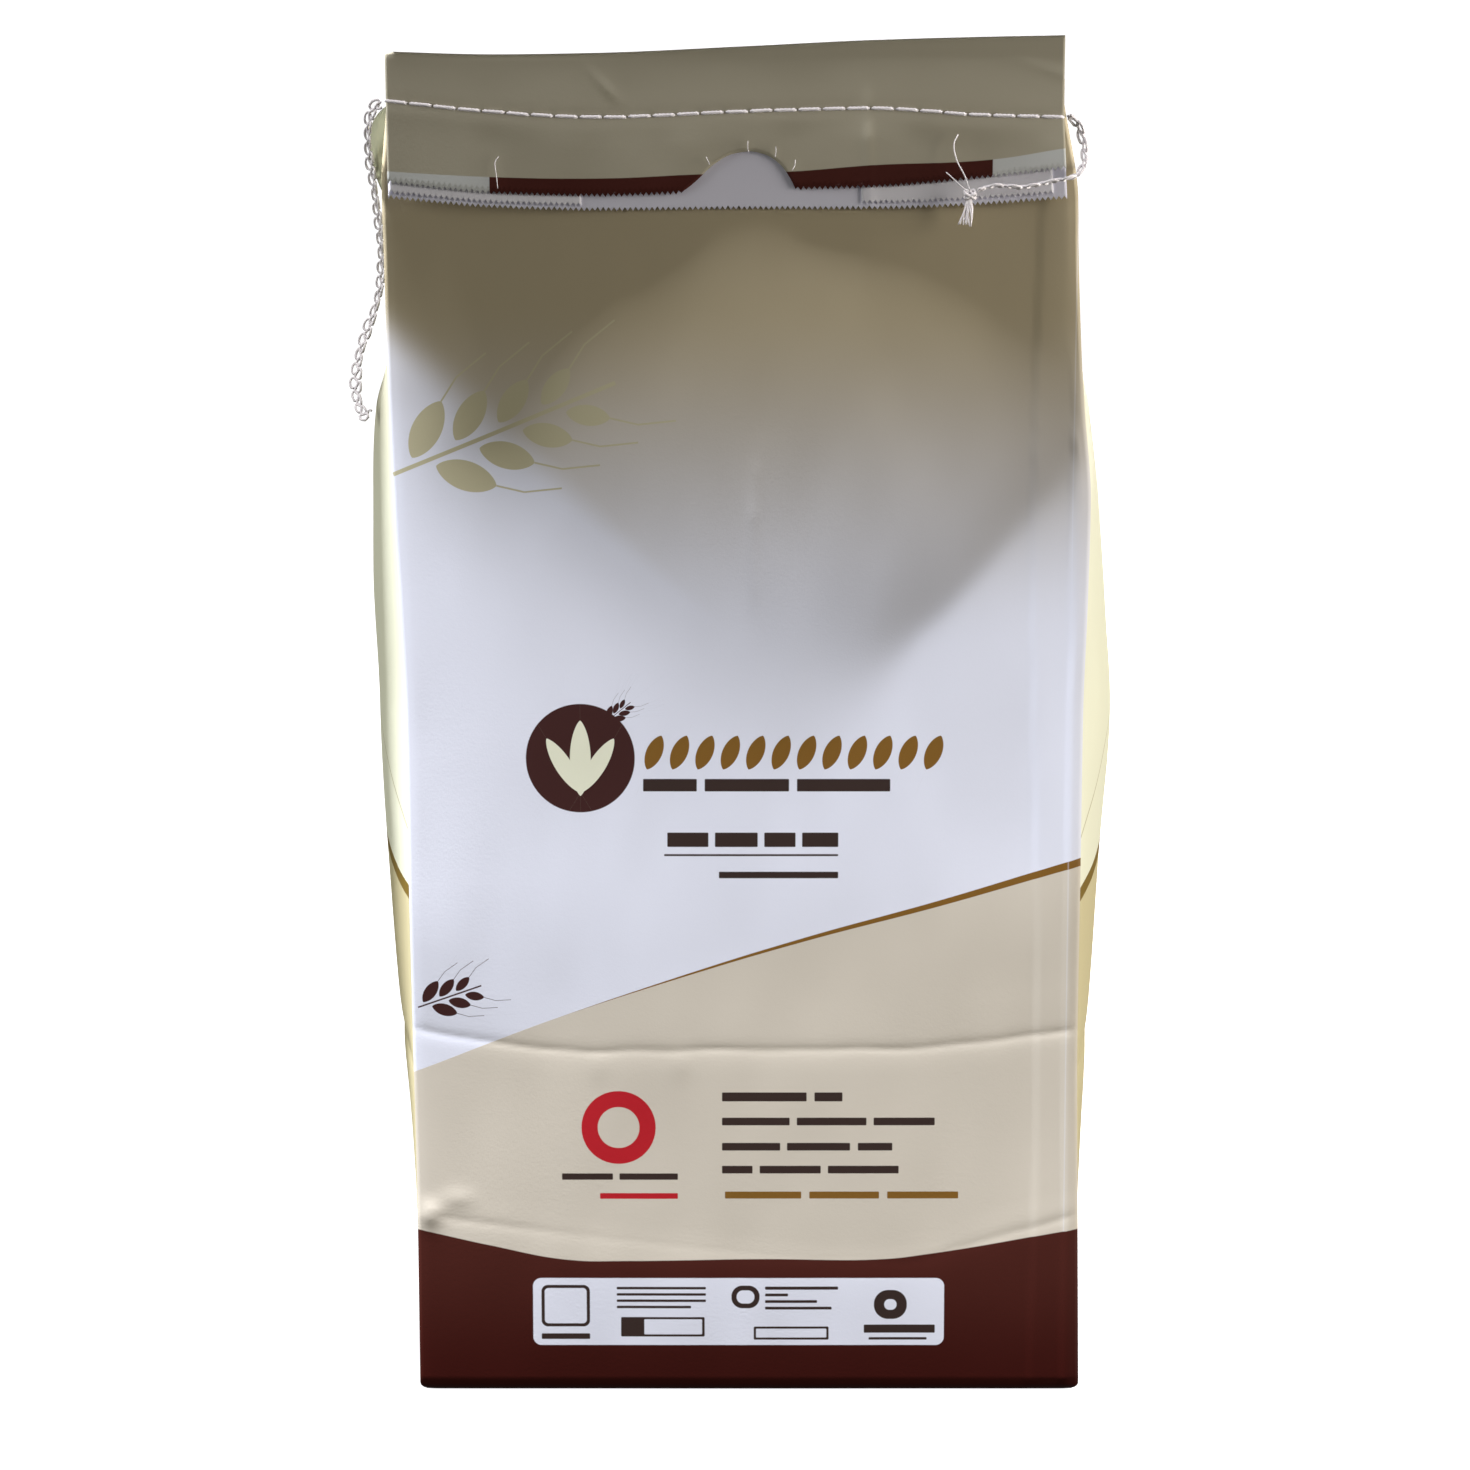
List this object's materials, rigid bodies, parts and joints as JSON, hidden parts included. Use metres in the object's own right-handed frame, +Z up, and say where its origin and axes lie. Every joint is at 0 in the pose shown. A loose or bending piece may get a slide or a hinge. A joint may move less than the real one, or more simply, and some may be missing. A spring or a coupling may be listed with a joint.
{
  "type": "bag of flour",
  "caption": "Upright full paper flour bag with block bottom and side gussets, its top folded to the front and sewn shut, with loose thread tails.",
  "frame": {"origin": "on the surface that the bag stands on, under the middle of the box of the bag and its seam, without the thread tails", "axes": "+Z up through the bag, -Y out of the broad face that the top is folded towards, +X to the right as that face is seen"},
  "size_m": [0.2404, 0.1416, 0.41],
  "materials": {
    "printed_paper": "smooth printed sack paper with a slight sheen",
    "sewing_thread": "soft twisted cotton"
  },
  "bodies": {
    "root": {"bag": "printed_paper", "seam_stitches": "sewing_thread", "seam_chain": "sewing_thread", "thread_tail_left": "sewing_thread", "thread_tail_right": "sewing_thread", "thread_knot": "sewing_thread"}
  },
  "joints": []
}
